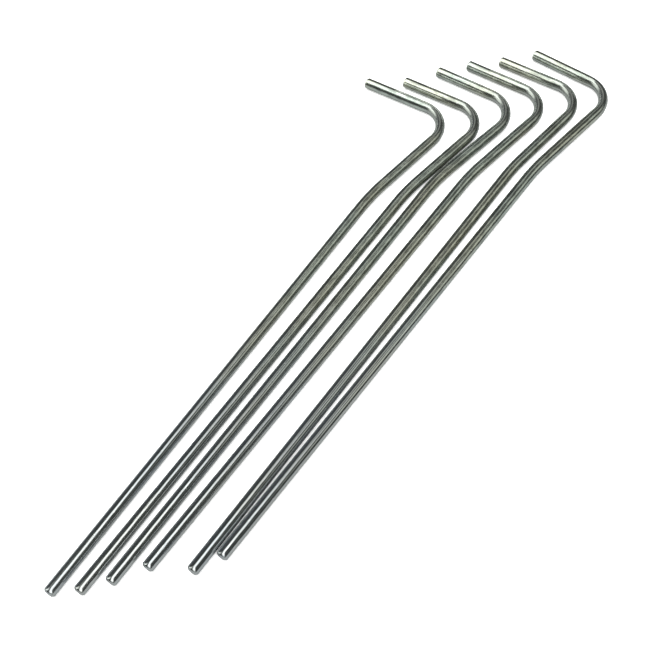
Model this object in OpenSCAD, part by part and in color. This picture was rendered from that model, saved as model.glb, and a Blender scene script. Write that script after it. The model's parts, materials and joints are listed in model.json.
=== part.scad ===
// Set of six hooked wire tent stakes, laid out flat side by side with their hooks nested.
// Each stake is one length of round steel wire: a straight shaft, a shallow joggle,
// a short neck, a tight hook bend and a straight arm, all bent in one plane.
// +Y runs from the tips to the hooks, +X runs across the row and z = 0 is the surface it lies on.

/* [Wire] */
// Diameter of the round wire
rod_d = 4.2; // [3:0.1:6]
// Width of the chamfer around the driving tip
tip_chamfer = 0.7; // [0.2:0.1:1.2]
// Width of the chamfer around the cut end of the arm
arm_chamfer = 0.4; // [0.2:0.1:1.2]
// How much thinner the wire is drawn where it is bent
bend_thinning = 0.04; // [0.04:0.02:0.2]

/* [Stake] */
// Straight length of the shaft, from the tip to the joggle
shaft_len = 175; // [120:1:260]
// Centreline radius of the shallow joggle
joggle_r = 80; // [30:1:150]
// Angle that the neck is set off from the shaft
joggle_angle = 9; // [4:0.5:14]
// Straight length of the neck, between the joggle and the hook bend
neck_len = 27; // [15:0.5:50]
// Centreline radius of the hook bend
hook_r = 10.5; // [8:0.5:16]
// Angle that the hook bend turns through
hook_turn = 102; // [90:1:120]
// Straight length of the arm, from the hook bend to its cut end
arm_len = 25; // [15:0.5:40]

/* [Bending spread] */
// How much longer than nominal each shaft is, from stake 1 to stake 6
shaft_spread = [-4, -1, 0, 0, 5, 0]; // [-8:0.5:8]
// How much steeper than nominal each joggle is
joggle_spread = [0.5, 0.5, 2, 0, -1.5, -1]; // [-3:0.5:3]
// How much longer than nominal each neck is
neck_spread = [1, 0, -0.5, 1.5, 0, 3.5]; // [-4:0.5:4]
// How much further than nominal each hook is turned
hook_spread = [0, 0.5, 0.5, -0.5, -2, -5]; // [-6:0.5:3]
// How much longer than nominal each arm is
arm_spread = [2, 0, -0.5, 0, 0, 0]; // [-3:0.5:3]

/* [Row] */
// Clear width between the necks of each neighbouring pair, at the hook corners
neck_gap = [5.3, 1.6, 2.6, 3.6, 3.4]; // [1.5:0.1:8]
// Clear width between the arms of each neighbouring pair, at the hook corners
arm_gap = [2.9, 5.6, 4.6, 4, 2.6]; // [2:0.1:8]
// Clear width between the tips of each neighbouring pair
tip_gap = [3.3, 1.9, 2.4, 8, 0.3]; // [0.2:0.1:10]

/* [Hidden] */
NODES = ["stake_1", "stake_2", "stake_3", "stake_4", "stake_5", "stake_6"];
$fn = 64;

COUNT = len(NODES);
ZINC = [0.66, 0.69, 0.69];
// Length of bend inside each straight that it joins
BEND_LAP = 0.3;

function total(list, i = 0) = i < len(list) ? list[i] + total(list, i + 1) : 0;
function turned(v, angle) = [v.x * cos(angle) - v.y * sin(angle), v.x * sin(angle) + v.y * cos(angle)];

// Sizes of stake i, counted from 0
function shaft(i) = shaft_len + shaft_spread[i];
function joggle(i) = joggle_angle + joggle_spread[i];
function neck(i) = neck_len + neck_spread[i];
function hook(i) = hook_turn + hook_spread[i];
function arm(i) = arm_len + arm_spread[i];

// The neck and arm centrelines meet at the hook corner and the shaft and neck centrelines at the shoulder
function joggle_setback(i) = joggle_r * tan(joggle(i) / 2);
function hook_setback(i) = hook_r * tan(hook(i) / 2);
function shoulder(i) = [0, shaft(i) + joggle_setback(i)];
function corner(i) =
    shoulder(i) + turned([0, joggle_setback(i) + neck(i) + hook_setback(i)], -joggle(i));
function hook_centre(i) = corner(i) + turned([-hook_r, -hook_setback(i)], -joggle(i));
function arm_end(i) = corner(i) + turned([0, hook_setback(i) + arm(i)], hook(i) - joggle(i));

// Step from hook corner i to hook corner i + 1 that leaves both stated gaps, in the frame of stake i
function nest_step(i) =
    let (
        neck_pitch = rod_d + neck_gap[i],
        arm_pitch = rod_d + arm_gap[i],
        along_neck = (arm_pitch - neck_pitch * cos(hook(i))) / sin(hook(i))
    )
    turned([neck_pitch, along_neck], -joggle(i));

// Angle between shafts i and i + 1 that leaves the stated gap at their tips
function fan_step(i) =
    asin((rod_d + tip_gap[i] - nest_step(i).x - corner(i).x + corner(i + 1).x) / corner(i + 1).y);
function fan(i) = i == 0 ? 0 : fan(i - 1) + fan_step(i - 1);

// Lean of each shaft from +Y, so that the whole row averages to none
MEAN_FAN = total([for (i = [0:COUNT - 1]) fan(i)]) / COUNT;
function lean(i) = fan(i) - MEAN_FAN;

// Where each hook corner lies, from the first one, and then any point of a stake's own plan
function corner_at(i) =
    i == 0 ? [0, 0] : corner_at(i - 1) + turned(nest_step(i - 1), lean(i - 1));
function placed(point, i) = corner_at(i) + turned(point - corner(i), lean(i));

// Outline of the row, which puts the origin under its middle
HOOK_REACH = hook_r + rod_d / 2;
LEFT = min([for (i = [0:COUNT - 1]) placed(arm_end(i), i).x]);
RIGHT = max([for (i = [0:COUNT - 1]) placed(hook_centre(i), i).x]) + HOOK_REACH;
FRONT = min([for (i = [0:COUNT - 1]) placed([0, 0], i).y]);
BACK = max([for (i = [0:COUNT - 1])
    max(placed(hook_centre(i), i).y + HOOK_REACH, placed(arm_end(i), i).y + rod_d / 2)]);
MIDDLE = [(LEFT + RIGHT) / 2, (FRONT + BACK) / 2];

// Straight length of wire along +Y with its ends chamfered, and the rest carried on from its end
module straight(length, start_chamfer = 0, end_chamfer = 0) {
    rotate([-90, 0, 0]) rotate_extrude() polygon([
        [0, 0],
        [rod_d / 2 - start_chamfer, 0],
        [rod_d / 2, start_chamfer],
        [rod_d / 2, length - end_chamfer],
        [rod_d / 2 - end_chamfer, length],
        [0, length]
    ]);
    translate([0, length, 0]) children();
}

// Bend from +Y towards -X when side is 1 or towards +X when side is -1, with the rest carried on.
// The drawn-down wire of the bend runs a little way into the straight at each end.
module bend(radius, turn, side) {
    lap = BEND_LAP / radius * 180 / PI;
    translate([-side * radius, 0, 0]) {
        rotate([0, 0, (side > 0 ? 0 : 180 - turn) - lap])
            rotate_extrude(angle = turn + 2 * lap)
                translate([radius, 0]) circle(d = rod_d - bend_thinning);
        rotate([0, 0, side * turn]) translate([side * radius, 0, 0]) children();
    }
}

// Whole bent wire of stake i, from its tip at the origin
module bent_wire(i) {
    straight(shaft(i), start_chamfer = tip_chamfer)
        bend(joggle_r, joggle(i), -1)
            straight(neck(i))
                bend(hook_r, hook(i), 1)
                    straight(arm(i), end_chamfer = arm_chamfer);
}

// Stake i where it lies in the row
module laid_stake(i) {
    tip = placed([0, 0], i) - MIDDLE;
    translate([tip.x, tip.y, rod_d / 2]) rotate([0, 0, lean(i)]) bent_wire(i);
}

// First stake of the row, on the side that the arms point to
module stake_1() color(ZINC) laid_stake(0);

// Second stake
module stake_2() color(ZINC) laid_stake(1);

// Third stake
module stake_3() color(ZINC) laid_stake(2);

// Fourth stake
module stake_4() color(ZINC) laid_stake(3);

// Fifth stake, bent from a slightly longer wire
module stake_5() color(ZINC) laid_stake(4);

// Last stake, with the most open hook
module stake_6() color(ZINC) laid_stake(5);

stake_1();
stake_2();
stake_3();
stake_4();
stake_5();
stake_6();
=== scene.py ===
"""Six zinc-plated wire tent stakes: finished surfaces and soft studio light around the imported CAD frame."""

import json
import math

import bpy
import numpy as np
from mathutils import Matrix, Vector


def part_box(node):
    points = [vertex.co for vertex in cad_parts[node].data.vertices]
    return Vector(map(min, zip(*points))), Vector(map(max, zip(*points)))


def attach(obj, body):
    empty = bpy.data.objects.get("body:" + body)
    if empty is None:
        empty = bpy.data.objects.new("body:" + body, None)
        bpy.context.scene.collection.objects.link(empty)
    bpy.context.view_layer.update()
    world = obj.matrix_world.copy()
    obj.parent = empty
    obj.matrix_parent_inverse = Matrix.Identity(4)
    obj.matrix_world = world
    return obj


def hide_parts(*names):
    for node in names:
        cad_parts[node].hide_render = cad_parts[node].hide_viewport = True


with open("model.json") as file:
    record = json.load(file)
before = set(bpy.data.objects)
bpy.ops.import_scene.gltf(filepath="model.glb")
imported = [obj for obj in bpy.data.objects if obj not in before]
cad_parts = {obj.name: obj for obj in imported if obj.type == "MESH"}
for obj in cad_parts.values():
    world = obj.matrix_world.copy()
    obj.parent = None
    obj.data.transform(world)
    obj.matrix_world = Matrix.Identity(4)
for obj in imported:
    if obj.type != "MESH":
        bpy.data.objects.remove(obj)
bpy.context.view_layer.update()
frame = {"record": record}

MM = 0.001

# Wire and stake sizes in millimetres and degrees, the same as the CAD's
ROD_R = 2.1
TIP_CHAMFER = 0.7
ARM_CHAMFER = 0.4
JOGGLE_R = 80.0
HOOK_R = 10.5
STAKES = {
    "stake_1": {"shaft": 171.0, "joggle": 9.5, "neck": 28.0, "hook": 102.0, "arm": 27.0},
    "stake_2": {"shaft": 174.0, "joggle": 9.5, "neck": 27.0, "hook": 102.5, "arm": 25.0},
    "stake_3": {"shaft": 175.0, "joggle": 11.0, "neck": 26.5, "hook": 102.5, "arm": 24.5},
    "stake_4": {"shaft": 175.0, "joggle": 9.0, "neck": 28.5, "hook": 101.5, "arm": 25.0},
    "stake_5": {"shaft": 180.0, "joggle": 7.5, "neck": 27.0, "hook": 100.0, "arm": 25.0},
    "stake_6": {"shaft": 175.0, "joggle": 8.0, "neck": 30.5, "hook": 97.0, "arm": 25.0},
}
# How far the box of a finished stake may lie from its CAD node's
BOX_TOLERANCE = 0.3

# How finely the wire is meshed: sides around it, and millimetres between rings along it
SIDES = 56
STRAIGHT_STEP = 0.9
JOGGLE_STEP = 0.7
HOOK_STEP = 0.28

# Cut ends: millimetres that the rim of each face lies below its middle, and steps across the face
TIP_CROWN = 0.05
ARM_CROWN = 0.03
FACE_STEPS = 5
# Where the rim starts to round and its middle, as shares of the chamfer in from the face's edge
RIM_START = 0.27
RIM_MIDDLE = 0.135
# Millimetres that the rim's middle and the face's edge lie below the edge of the crown
RIM_DEPTHS = (0.02, 0.07)
# Rings on the chamfer, as shares of it: distance in from the end, and out from the face's edge
CHAMFER_RINGS = ((0.35, 0.33), (0.68, 0.67))
# Rings that round it into the wire: share of the chamfer in from the end, and millimetres under full radius
SHOULDER_RINGS = ((0.95, 0.05), (1.25, 0.0))
# Millimetres kept clear between a cut end's last ring and the wire's next one
END_CLEARANCE = 0.3

# Skin of the wire in millimetres: how far it lies inside the full radius, and the height of its ripple
SKIN_DEPTH = 0.041
RIPPLE = 0.004
# Waves of the ripple: radians per millimetre, lobes around the wire, radians per stake, and share
RIPPLE_WAVES = ((0.83, 2.0, 1.0, 1.0), (0.29, -3.0, 2.3, 0.7), (1.9, 5.0, 4.1, 0.5))
# Share that the hook bend is narrower in its own plane, and millimetres that it starts early and grows over
HOOK_PINCH = 0.12
PINCH_LEAD = 3.0
PINCH_FADE = 7.0
# Millimetres between the stakes in the coordinates of the material's patterns, so that no two are alike
PATTERN_PITCH = 400.0

# Camera, at the photograph's viewing angle: millimetres, degrees, and clipping in metres
AIM = (8.318, -10.617, 0.101)
AZIMUTH = -44.89
ELEVATION = 59.67
DISTANCE = 364.0
ROLL = 10.08
LENS = 58.2
SENSOR = 36.0
CLIP = (0.01, 20.0)

# Zinc plate: two tints of the bright end, two of the duller shaft, its speckle, bare marks, and a darker
# colour for the hook bend that is painted shade
COOL_ZINC = (0.66, 0.69, 0.71)
PLAIN_ZINC = (0.68, 0.69, 0.67)
GREEN_ZINC = (0.68, 0.74, 0.68)
OLIVE_ZINC = (0.74, 0.74, 0.63)
SPECKLE_DARK = (0.60, 0.60, 0.61)
SPECKLE_CLEAR = (1.0, 1.0, 1.0)
BARE_ZINC = (0.88, 0.89, 0.87)
# Darker colour of the hook bend: painted shade that stands in for the bend's dimmer reflections
BEND_SHADE_ZINC = (0.55, 0.57, 0.54)
# Shares of the wire's length, from the tip, between which the plate turns dull
DULL_RANGE = (0.22, 0.55)
# Roughness of the bright end and of the shaft, how it varies, and what the bend adds
ROUGH_TIP = 0.11
ROUGH_SHAFT = 0.20
ROUGH_SPREAD = (-0.03, 0.05)
ROUGH_BEND = 0.06
# Noise patterns: repeats per metre across the wire and along it, detail and roughness
LINES = (1500.0, 16.0, 3.0, 0.5)
FINE_LINES = (4200.0, 60.0, 2.0, 0.5)
GRAIN = (2900.0, 2900.0, 3.0, 0.6)
MOTTLE = (700.0, 240.0, 4.0, 0.65)
CLOUD = (120.0, 32.0, 3.0, 0.5)
SCRATCHES = (2600.0, 110.0, 1.0, 0.5)
# Cells per metre, each with one pit
PITS = 330.0
# Values from which and to which each pattern fades in
CLOUD_RANGE = (0.35, 0.65)
SPECKLE_RANGE = (0.34, 0.62)
UNEVEN_RANGE = (0.3, 0.7)
SCRATCH_RANGE = (0.67, 0.74)
PIT_RANGE = (0.10, 0.04)
# Relief in metres. The grain's is scaled by this share at the bright end, and by one more where it is dull
LINE_DEPTH = 0.000008
FINE_LINE_DEPTH = 0.0000015
GRAIN_DEPTH = 0.000004
MARK_DEPTH = 0.000006
GRAIN_AT_TIP = 0.35

# Floor in metres: a glowing white sheet that is seen, and a grey one just over it that the metal reflects
FLOOR_SIZE = 3.0
FLOOR_Z = -0.00002
FLOOR_COLOUR = (0.93, 0.93, 0.93)
FLOOR_GLOW = 0.42
TONE_Z = 0.0
TONE_COLOUR = (0.25, 0.26, 0.26)
FLOOR_ROUGHNESS = 0.9
FLOOR_SPECULAR = 0.2

# Overhead light for the floor, in metres and watts
OVERHEAD_PLACE = (-0.1, 0.1, 1.0)
OVERHEAD_SIZE = 1.4
OVERHEAD_POWER = 25.0
# Strip over each arm: radiance and colour, then height, width and extra length in millimetres
STRIP_RADIANCE = 1.35
STRIP_COLOUR = (0.95, 1.0, 0.965)
STRIP_HEIGHT = 6.5
STRIP_WIDTH = 4.1
STRIP_EXTRA = 3.8
# Millimetres from the arm's middle towards its cut end, and to the left of that way
STRIP_SHIFT = (-0.4, 0.80)

# Radiance of the backdrop that only the camera sees, and of the room and the ceiling panel
BACKDROP_COLOUR = (1.0, 1.0, 1.0)
ROOM_COLOUR = (0.056, 0.061, 0.058)
PANEL_COLOUR = (1.48, 1.51, 1.49)
# Ceiling panel, by direction: lean of its right and left edges, then where it is gone and full at each edge
PANEL_SKEW = (2.0, 1.2)
PANEL_RIGHT = (0.67, 0.55)
PANEL_LEFT = (-0.11, 0.01)
PANEL_NEAR = (-0.30, -0.20)
PANEL_FAR = (0.33, 0.10)
PANEL_RISE = (0.0, 0.2)
# Soft boxes: direction, degrees from it at which the light starts to fade and is gone, and radiance
SOFT_BOXES = [
    ((0.62, 0.46, 0.63), 5.0, 19.0, (0.60, 0.62, 0.56)),
    ((-0.36, 0.48, 0.80), 4.0, 18.0, (0.42, 0.43, 0.41)),
    ((0.17, 0.33, 0.93), 3.0, 12.0, (0.50, 0.51, 0.48)),
    ((-0.76, -0.48, 0.43), 13.0, 24.0, (1.20, 1.25, 1.18)),
    ((-0.60, -0.26, 0.76), 7.0, 16.0, (1.10, 1.14, 1.08)),
    ((-0.41, -0.15, 0.90), 4.0, 13.0, (0.60, 0.62, 0.58)),
    ((0.50, -0.58, 0.64), 12.0, 34.0, (0.80, 0.82, 0.80)),
    ((-0.92, 0.35, 0.15), 8.0, 40.0, (0.006, 0.008, 0.022)),
]

# Colour sockets of a Mix node, and how nodes are laid out in the editor
MIX_FIRST = 6
MIX_SECOND = 7
MIX_RESULT = 2
NODE_SPACING = 220
NODES_PER_ROW = 8


def add_object(name, data):
    made = bpy.data.objects.new(name, data)
    bpy.context.scene.collection.objects.link(made)
    return made


def make_camera():
    azimuth = math.radians(AZIMUTH)
    elevation = math.radians(ELEVATION)
    roll = math.radians(ROLL)
    back = Vector((
        math.cos(elevation) * math.cos(azimuth),
        math.cos(elevation) * math.sin(azimuth),
        math.sin(elevation),
    ))
    level = Vector((0, 0, 1)).cross(back).normalized()
    rise = back.cross(level)
    right = math.cos(roll) * level - math.sin(roll) * rise
    up = math.sin(roll) * level + math.cos(roll) * rise
    data = bpy.data.cameras.new("camera")
    data.lens = LENS
    data.sensor_width = SENSOR
    data.clip_start, data.clip_end = CLIP
    camera = add_object("camera", data)
    place = Vector(AIM) * MM + back * DISTANCE * MM
    camera.matrix_world = Matrix.Translation(place) @ Matrix((right, up, back)).transposed().to_4x4()
    bpy.context.scene.camera = camera


def stake_mount(name):
    """Tip and heading of a stake's shaft in the plan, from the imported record's mount."""
    for mount in frame["record"]["mounts"]:
        if mount["name"] == name + "_shaft":
            out = np.array(mount["axis"][:2])
            heading = -out / np.linalg.norm(out)
            tip = np.array(mount["pos_m"][:2]) / MM - heading * TIP_CHAMFER
            return tip, heading
    raise ValueError("no shaft mount for " + name)


def joggle_length(size):
    return JOGGLE_R * math.radians(size["joggle"])


def hook_length(size):
    return HOOK_R * math.radians(size["hook"])


def segments(size):
    """A stake's line from tip to cut end, in pieces: length, turn in degrees (left is positive) and step."""
    return [
        (size["shaft"], 0.0, STRAIGHT_STEP),
        (joggle_length(size), -size["joggle"], JOGGLE_STEP),
        (size["neck"], 0.0, STRAIGHT_STEP),
        (hook_length(size), size["hook"], HOOK_STEP),
        (size["arm"], 0.0, STRAIGHT_STEP),
    ]


def along_segment(start, angle, length, total, share):
    """Point and heading at a share of a piece that starts at an angle and turns by total radians."""
    if total == 0.0:
        return start + length * share * np.array([math.cos(angle), math.sin(angle)]), angle
    radius = length / total
    facing = angle + total * share
    point = start + radius * np.array([
        math.sin(facing) - math.sin(angle),
        math.cos(angle) - math.cos(facing),
    ])
    return point, facing


def centreline(name):
    """Rows of x, y, heading and distance from the tip along a stake's line, and its whole length."""
    point, heading = stake_mount(name)
    angle = math.atan2(heading[1], heading[0])
    run = 0.0
    rows = []
    for part, (length, turn, step) in enumerate(segments(STAKES[name])):
        count = max(2, int(round(length / step)))
        total = math.radians(turn)
        # A piece starts on the last row of the one before it
        first = 0 if part == 0 else 1
        for k in range(first, count + 1):
            share = k / count
            here, facing = along_segment(point, angle, length, total, share)
            rows.append((here[0], here[1], facing, run + length * share))
        point = np.array(rows[-1][:2])
        angle = angle + total
        run = run + length
    return np.array(rows), run


def smooth_step(x):
    x = np.clip(x, 0.0, 1.0)
    return x * x * (3.0 - 2.0 * x)


def end_profile(chamfer, crown):
    """Rings of a cut end from its middle outwards: distance in from the end, and radius."""
    face = ROD_R - chamfer
    rows = []
    for k in range(FACE_STEPS + 1):
        share = k / FACE_STEPS
        rows.append((crown * share * share, (face - chamfer * RIM_START) * share))
    rows.append((crown + RIM_DEPTHS[0], face - chamfer * RIM_MIDDLE))
    rows.append((crown + RIM_DEPTHS[1], face))
    rows += [(chamfer * inward, face + chamfer * outward) for inward, outward in CHAMFER_RINGS]
    rows += [(chamfer * inward, ROD_R - under) for inward, under in SHOULDER_RINGS]
    return rows


def ring_plan(name):
    """Rows of x, y, heading, distance from the tip and radius, one per ring, and the wire's length."""
    rows, total = centreline(name)
    tip_rows = end_profile(TIP_CHAMFER, TIP_CROWN)
    arm_rows = end_profile(ARM_CHAMFER, ARM_CROWN)
    start = tip_rows[-1][0] + END_CLEARANCE
    end = total - arm_rows[-1][0] - END_CLEARANCE
    first = rows[0]
    last = rows[-1]
    rings = []
    for distance, radius in tip_rows:
        x = first[0] + distance * math.cos(first[2])
        y = first[1] + distance * math.sin(first[2])
        rings.append((x, y, first[2], distance, radius))
    rings += [(*row, ROD_R) for row in rows if start < row[3] < end]
    for distance, radius in reversed(arm_rows):
        x = last[0] - distance * math.cos(last[2])
        y = last[1] - distance * math.sin(last[2])
        rings.append((x, y, last[2], total - distance, radius))
    return np.array(rings), total


def pinch(run, size):
    """Share of full pinch at each distance: 1 in the hook bend, 0 away from it."""
    start = size["shaft"] + joggle_length(size) + size["neck"]
    end = start + hook_length(size)
    fade_in = smooth_step((run - start + PINCH_LEAD) / PINCH_FADE)
    fade_out = smooth_step((end + PINCH_LEAD - run) / PINCH_FADE)
    return fade_in * fade_out


def side_angles():
    return np.arange(SIDES) * 2.0 * math.pi / SIDES


def skin_points(rings, narrow, index):
    """Points around every ring but the first and last, and then the middles of those two."""
    turns = side_angles()
    run = rings[:, 3]
    ripple = RIPPLE * sum(
        share * np.sin(run[:, None] * wave + lobes * turns[None, :] + phase * index)
        for wave, lobes, phase, share in RIPPLE_WAVES
    )
    radius = rings[:, 4][:, None] * (1.0 - (SKIN_DEPTH - ripple) / ROD_R)
    across = radius * np.cos(turns)[None, :] * narrow[:, None]
    x = rings[:, 0][:, None] - np.sin(rings[:, 2])[:, None] * across
    y = rings[:, 1][:, None] + np.cos(rings[:, 2])[:, None] * across
    z = ROD_R + radius * np.sin(turns)[None, :]
    points = np.stack([x, y, z], axis=2)[1:-1].reshape(-1, 3)
    middles = np.array([[rings[0, 0], rings[0, 1], ROD_R], [rings[-1, 0], rings[-1, 1], ROD_R]])
    return np.concatenate([points, middles])


def skin_faces(count):
    """Outward faces that join count rings and close both ends onto their middles."""
    faces = []
    for ring in range(count - 1):
        for side in range(SIDES):
            a = ring * SIDES + side
            b = ring * SIDES + (side + 1) % SIDES
            faces.append((a, b, b + SIDES, a + SIDES))
    tip_middle = count * SIDES
    arm_middle = tip_middle + 1
    last = (count - 1) * SIDES
    for side in range(SIDES):
        following = (side + 1) % SIDES
        faces.append((tip_middle, following, side))
        faces.append((arm_middle, last + side, last + following))
    return faces


def straightened(run, total, index):
    """Where every point would be on a straight wire, for the material's patterns."""
    turns = side_angles()
    coords = np.stack([
        np.tile(np.cos(turns), len(run)) * ROD_R,
        np.tile(np.sin(turns), len(run)) * ROD_R,
        np.repeat(run, SIDES),
    ], axis=1)
    coords = np.concatenate([coords, [[0, 0, 0], [0, 0, total]]])
    return (coords + np.array([0.0, 0.0, PATTERN_PITCH * index])) * MM


def add_values(mesh, name, ring_values, tip_value, arm_value):
    """A number for every point of the mesh, the same all round each ring."""
    values = np.concatenate([np.repeat(ring_values, SIDES), [tip_value, arm_value]])
    made = mesh.attributes.new(name, "FLOAT", "POINT")
    made.data.foreach_set("value", values.astype(np.float32))


def stake_mesh(name, index):
    """Skin of a stake, carrying its straightened place, share of the length and share of bending."""
    rings, total = ring_plan(name)
    bent = pinch(rings[:, 3], STAKES[name])
    run = rings[1:-1, 3]
    points = skin_points(rings, 1.0 - HOOK_PINCH * bent, index)
    mesh = bpy.data.meshes.new(name + "_wire")
    mesh.from_pydata((points * MM).tolist(), [], skin_faces(len(run)))
    wire = mesh.attributes.new("wire", "FLOAT_VECTOR", "POINT")
    wire.data.foreach_set("vector", straightened(run, total, index).astype(np.float32).ravel())
    add_values(mesh, "run", run / total, 0.0, 1.0)
    add_values(mesh, "bend_share", bent[1:-1], 0.0, 0.0)
    mesh.polygons.foreach_set("use_smooth", [True] * len(mesh.polygons))
    mesh.validate()
    mesh.update()
    return mesh


def node(tree, kind, **values):
    row, column = divmod(len(tree.nodes), NODES_PER_ROW)
    made = tree.nodes.new(kind)
    made.location = (NODE_SPACING * column, -NODE_SPACING * row)
    for key, value in values.items():
        setattr(made, key, value)
    return made


def attribute(tree, name, output):
    return node(tree, "ShaderNodeAttribute", attribute_name=name).outputs[output]


def math_node(tree, operation, first, second):
    """Result of an operation on two numbers or sockets."""
    made = node(tree, "ShaderNodeMath", operation=operation)
    for slot, value in enumerate((first, second)):
        if isinstance(value, (int, float)):
            made.inputs[slot].default_value = value
        else:
            tree.links.new(value, made.inputs[slot])
    return made.outputs["Value"]


def map_range(tree, socket, limits, results=(0.0, 1.0), kind="SMOOTHSTEP"):
    """The first result at the first limit and beyond, and the second at the second and beyond."""
    made = node(tree, "ShaderNodeMapRange", interpolation_type=kind)
    made.inputs["From Min"].default_value = limits[0]
    made.inputs["From Max"].default_value = limits[1]
    made.inputs["To Min"].default_value = results[0]
    made.inputs["To Max"].default_value = results[1]
    tree.links.new(socket, made.inputs["Value"])
    return made.outputs["Result"]


def noise(tree, wire, pattern):
    """One of the noise patterns, over the wire's straightened coordinates."""
    across, along, detail, roughness = pattern
    scaled = node(tree, "ShaderNodeVectorMath", operation="MULTIPLY")
    scaled.inputs[1].default_value = (across, across, along)
    tree.links.new(wire, scaled.inputs[0])
    made = node(tree, "ShaderNodeTexNoise")
    made.inputs["Scale"].default_value = 1.0
    made.inputs["Detail"].default_value = detail
    made.inputs["Roughness"].default_value = roughness
    tree.links.new(scaled.outputs["Vector"], made.inputs["Vector"])
    return made.outputs["Fac"]


def blend_colour(tree, mask, first, second, blend_type="MIX"):
    """first where mask is 0, and second blended onto it where mask is 1; each is a colour or a socket."""
    made = node(tree, "ShaderNodeMix", data_type="RGBA", blend_type=blend_type)
    tree.links.new(mask, made.inputs["Factor"])
    for slot, value in ((MIX_FIRST, first), (MIX_SECOND, second)):
        if isinstance(value, tuple):
            made.inputs[slot].default_value = (*value, 1)
        else:
            tree.links.new(value, made.inputs[slot])
    return made.outputs[MIX_RESULT]


def bumped(tree, height, depth, before=None):
    """Relief of that depth in metres on top of the relief before it."""
    made = node(tree, "ShaderNodeBump")
    made.inputs["Strength"].default_value = 1.0
    made.inputs["Distance"].default_value = depth
    tree.links.new(height, made.inputs["Height"])
    if before is not None:
        tree.links.new(before, made.inputs["Normal"])
    return made.outputs["Normal"]


def handling_marks(tree, wire):
    """Short scratches left by bending and handling, and sparse pits."""
    scratch = map_range(tree, noise(tree, wire, SCRATCHES), SCRATCH_RANGE)
    cells = node(tree, "ShaderNodeTexVoronoi")
    cells.inputs["Scale"].default_value = PITS
    tree.links.new(wire, cells.inputs["Vector"])
    pit = map_range(tree, cells.outputs["Distance"], PIT_RANGE)
    return math_node(tree, "MAXIMUM", scratch, pit)


def zinc_colour(tree, wire, dull, mottle, marks, bend_share):
    """Cloudy tints, speckled where the plate is dull, with bare marks and the hook bend painted darker as
    shade.
    """
    cloud = map_range(tree, noise(tree, wire, CLOUD), CLOUD_RANGE)
    cool = blend_colour(tree, cloud, COOL_ZINC, PLAIN_ZINC)
    warm = blend_colour(tree, cloud, GREEN_ZINC, OLIVE_ZINC)
    tint = blend_colour(tree, dull, cool, warm)
    speckle = map_range(tree, mottle, SPECKLE_RANGE)
    shade = blend_colour(tree, speckle, SPECKLE_DARK, SPECKLE_CLEAR)
    plated = blend_colour(tree, dull, tint, shade, "MULTIPLY")
    marked = blend_colour(tree, marks, plated, BARE_ZINC)
    # Painted shade: the hook bend's colour is darkened where its reflections are dimmer
    return blend_colour(tree, bend_share, marked, BEND_SHADE_ZINC)


def zinc_roughness(tree, dull, mottle, bend_share):
    base = map_range(tree, dull, (0.0, 1.0), (ROUGH_TIP, ROUGH_SHAFT), "LINEAR")
    uneven = map_range(tree, mottle, UNEVEN_RANGE, ROUGH_SPREAD, "LINEAR")
    plated = math_node(tree, "ADD", base, uneven)
    return math_node(tree, "ADD", plated, math_node(tree, "MULTIPLY", bend_share, ROUGH_BEND))


def zinc_relief(tree, wire, dull, marks):
    """Drawing lines, coarse and fine, under the plating's grain and the marks pressed into it."""
    grain_share = math_node(tree, "ADD", dull, GRAIN_AT_TIP)
    grain = math_node(tree, "MULTIPLY", noise(tree, wire, GRAIN), grain_share)
    normal = bumped(tree, noise(tree, wire, LINES), LINE_DEPTH)
    normal = bumped(tree, noise(tree, wire, FINE_LINES), FINE_LINE_DEPTH, normal)
    normal = bumped(tree, grain, GRAIN_DEPTH, normal)
    return bumped(tree, marks, -MARK_DEPTH, normal)


def zinc_material():
    """Bright zinc plate on drawn wire, duller up the shaft than at the driving end."""
    material = bpy.data.materials.new("bright_zinc_plate")
    material.use_nodes = True
    tree = material.node_tree
    tree.nodes.clear()
    wire = attribute(tree, "wire", "Vector")
    bend_share = attribute(tree, "bend_share", "Fac")
    dull = map_range(tree, attribute(tree, "run", "Fac"), DULL_RANGE)
    mottle = noise(tree, wire, MOTTLE)
    marks = handling_marks(tree, wire)
    shader = node(tree, "ShaderNodeBsdfPrincipled")
    shader.inputs["Metallic"].default_value = 1.0
    tree.links.new(zinc_colour(tree, wire, dull, mottle, marks, bend_share), shader.inputs["Base Color"])
    tree.links.new(zinc_roughness(tree, dull, mottle, bend_share), shader.inputs["Roughness"])
    tree.links.new(zinc_relief(tree, wire, dull, marks), shader.inputs["Normal"])
    output = node(tree, "ShaderNodeOutputMaterial")
    tree.links.new(shader.outputs["BSDF"], output.inputs["Surface"])
    return material


def check_place(name, mesh):
    """Stops the script if a finished stake isn't where its CAD node is."""
    low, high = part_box(name)
    points = np.array([v.co for v in mesh.vertices])
    drift = max(
        np.abs(points.min(axis=0) - np.array(low)).max(),
        np.abs(points.max(axis=0) - np.array(high)).max(),
    )
    if drift > BOX_TOLERANCE * MM:
        raise ValueError(name + " doesn't lie where the CAD node does")


def make_stakes():
    zinc = zinc_material()
    for index, name in enumerate(STAKES):
        mesh = stake_mesh(name, index)
        mesh.materials.append(zinc)
        check_place(name, mesh)
        piece = add_object(name + "_zinc", mesh)
        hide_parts(name)
        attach(piece, name)


def flat_material(name, colour, glow):
    material = bpy.data.materials.new(name)
    material.use_nodes = True
    shader = material.node_tree.nodes["Principled BSDF"]
    shader.inputs["Base Color"].default_value = (*colour, 1)
    shader.inputs["Roughness"].default_value = FLOOR_ROUGHNESS
    shader.inputs["Specular IOR Level"].default_value = FLOOR_SPECULAR
    shader.inputs["Emission Color"].default_value = (*colour, 1)
    shader.inputs["Emission Strength"].default_value = glow
    return material


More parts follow.
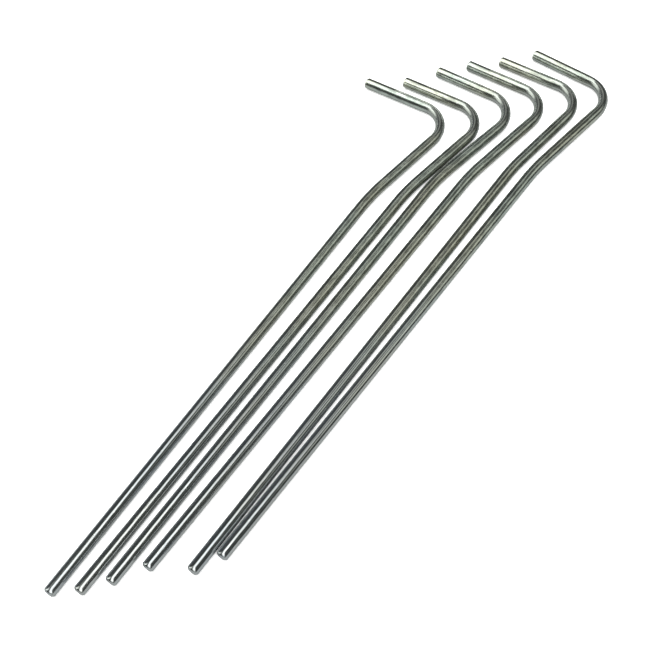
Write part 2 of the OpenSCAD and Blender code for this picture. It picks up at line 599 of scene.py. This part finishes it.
def make_sheet(name, z, material):
    half = FLOOR_SIZE / 2
    mesh = bpy.data.meshes.new(name)
    corners = [(-half, -half, z), (half, -half, z), (half, half, z), (-half, half, z)]
    mesh.from_pydata(corners, [], [(0, 1, 2, 3)])
    mesh.materials.append(material)
    sheet = add_object(name, mesh)
    return sheet


def make_floor():
    seen = make_sheet("floor", FLOOR_Z, flat_material("white_floor", FLOOR_COLOUR, FLOOR_GLOW))
    seen.visible_glossy = False
    tone = make_sheet("floor_tone", TONE_Z, flat_material("grey_floor", TONE_COLOUR, 0.0))
    tone.visible_camera = False
    tone.visible_diffuse = False
    tone.visible_shadow = False
    tone.visible_transmission = False


def area_light(name, length, width, power):
    data = bpy.data.lights.new(name, "AREA")
    data.shape = "RECTANGLE"
    data.size = length
    data.size_y = width
    data.energy = power
    light = add_object(name, data)
    light.visible_camera = False
    return light


def make_overhead():
    """A big soft light that the metal doesn't reflect, facing the origin."""
    light = area_light("overhead", OVERHEAD_SIZE, OVERHEAD_SIZE, OVERHEAD_POWER)
    light.location = OVERHEAD_PLACE
    light.rotation_euler = Vector(OVERHEAD_PLACE).to_track_quat("Z", "Y").to_euler()
    light.visible_glossy = False


def make_strip(name):
    """A low bright strip over a stake's arm that only the metal sees."""
    arm_length = STAKES[name]["arm"]
    rows, total = centreline(name)
    arm = rows[rows[:, 3] > total - arm_length]
    middle = arm[len(arm) // 2]
    along = np.array([math.cos(middle[2]), math.sin(middle[2])])
    left = np.array([-along[1], along[0]])
    centre = middle[:2] + along * STRIP_SHIFT[0] + left * STRIP_SHIFT[1]
    length = (arm_length + STRIP_EXTRA) * MM
    width = STRIP_WIDTH * MM
    strip = area_light(name + "_strip", length, width, STRIP_RADIANCE * math.pi * length * width)
    strip.data.color = STRIP_COLOUR
    strip.location = (centre[0] * MM, centre[1] * MM, STRIP_HEIGHT * MM)
    strip.rotation_euler = (0, 0, middle[2])
    strip.visible_diffuse = False


def make_lights():
    make_overhead()
    for name in STAKES:
        make_strip(name)


def panel_mask(tree, direction):
    """1 inside the ceiling panel and 0 outside it, with soft edges."""
    split = node(tree, "ShaderNodeSeparateXYZ")
    tree.links.new(direction, split.inputs["Vector"])
    x, y = split.outputs["X"], split.outputs["Y"]
    right = math_node(tree, "ADD", x, math_node(tree, "MULTIPLY", y, PANEL_SKEW[0]))
    left = math_node(tree, "ADD", x, math_node(tree, "MULTIPLY", y, PANEL_SKEW[1]))
    mask = map_range(tree, right, PANEL_RIGHT)
    edges = ((left, PANEL_LEFT), (y, PANEL_NEAR), (y, PANEL_FAR), (split.outputs["Z"], PANEL_RISE))
    for socket, limits in edges:
        mask = math_node(tree, "MULTIPLY", mask, map_range(tree, socket, limits))
    return mask


def soft_box_mask(tree, direction, aim, inner, outer):
    """1 up to inner degrees from the aim, 0 past outer degrees and smooth between."""
    dot = node(tree, "ShaderNodeVectorMath", operation="DOT_PRODUCT")
    tree.links.new(direction, dot.inputs[0])
    dot.inputs[1].default_value = Vector(aim).normalized()
    limits = (math.cos(math.radians(outer)), math.cos(math.radians(inner)))
    return map_range(tree, dot.outputs["Value"], limits)


def add_layer(tree, below, mask, colour):
    """The light below, a colour or a socket, with a colour added where mask is 1."""
    scaled = node(tree, "ShaderNodeVectorMath", operation="SCALE")
    scaled.inputs[0].default_value = colour
    tree.links.new(mask, scaled.inputs["Scale"])
    joined = node(tree, "ShaderNodeVectorMath", operation="ADD")
    if isinstance(below, tuple):
        joined.inputs[0].default_value = below
    else:
        tree.links.new(below, joined.inputs[0])
    tree.links.new(scaled.outputs["Vector"], joined.inputs[1])
    return joined.outputs["Vector"]


def studio_light(tree, direction):
    """A dim room with the ceiling panel and the soft boxes in it, by direction from the object."""
    light = add_layer(tree, ROOM_COLOUR, panel_mask(tree, direction), PANEL_COLOUR)
    for aim, inner, outer, colour in SOFT_BOXES:
        light = add_layer(tree, light, soft_box_mask(tree, direction, aim, inner, outer), colour)
    return light


def make_world():
    """The studio, and a white backdrop in its place for the camera itself."""
    world = bpy.data.worlds.new("studio")
    world.use_nodes = True
    tree = world.node_tree
    background = tree.nodes["Background"]
    direction = node(tree, "ShaderNodeTexCoord").outputs["Generated"]
    tree.links.new(studio_light(tree, direction), background.inputs["Color"])
    backdrop = node(tree, "ShaderNodeBackground")
    backdrop.inputs["Color"].default_value = (*BACKDROP_COLOUR, 1)
    rays = node(tree, "ShaderNodeLightPath")
    choice = node(tree, "ShaderNodeMixShader")
    tree.links.new(rays.outputs["Is Camera Ray"], choice.inputs["Fac"])
    tree.links.new(background.outputs["Background"], choice.inputs[1])
    tree.links.new(backdrop.outputs["Background"], choice.inputs[2])
    tree.links.new(choice.outputs["Shader"], tree.nodes["World Output"].inputs["Surface"])
    bpy.context.scene.world = world


make_camera()
make_stakes()
make_floor()
make_lights()
make_world()
bpy.context.scene.view_settings.view_transform = "Standard"
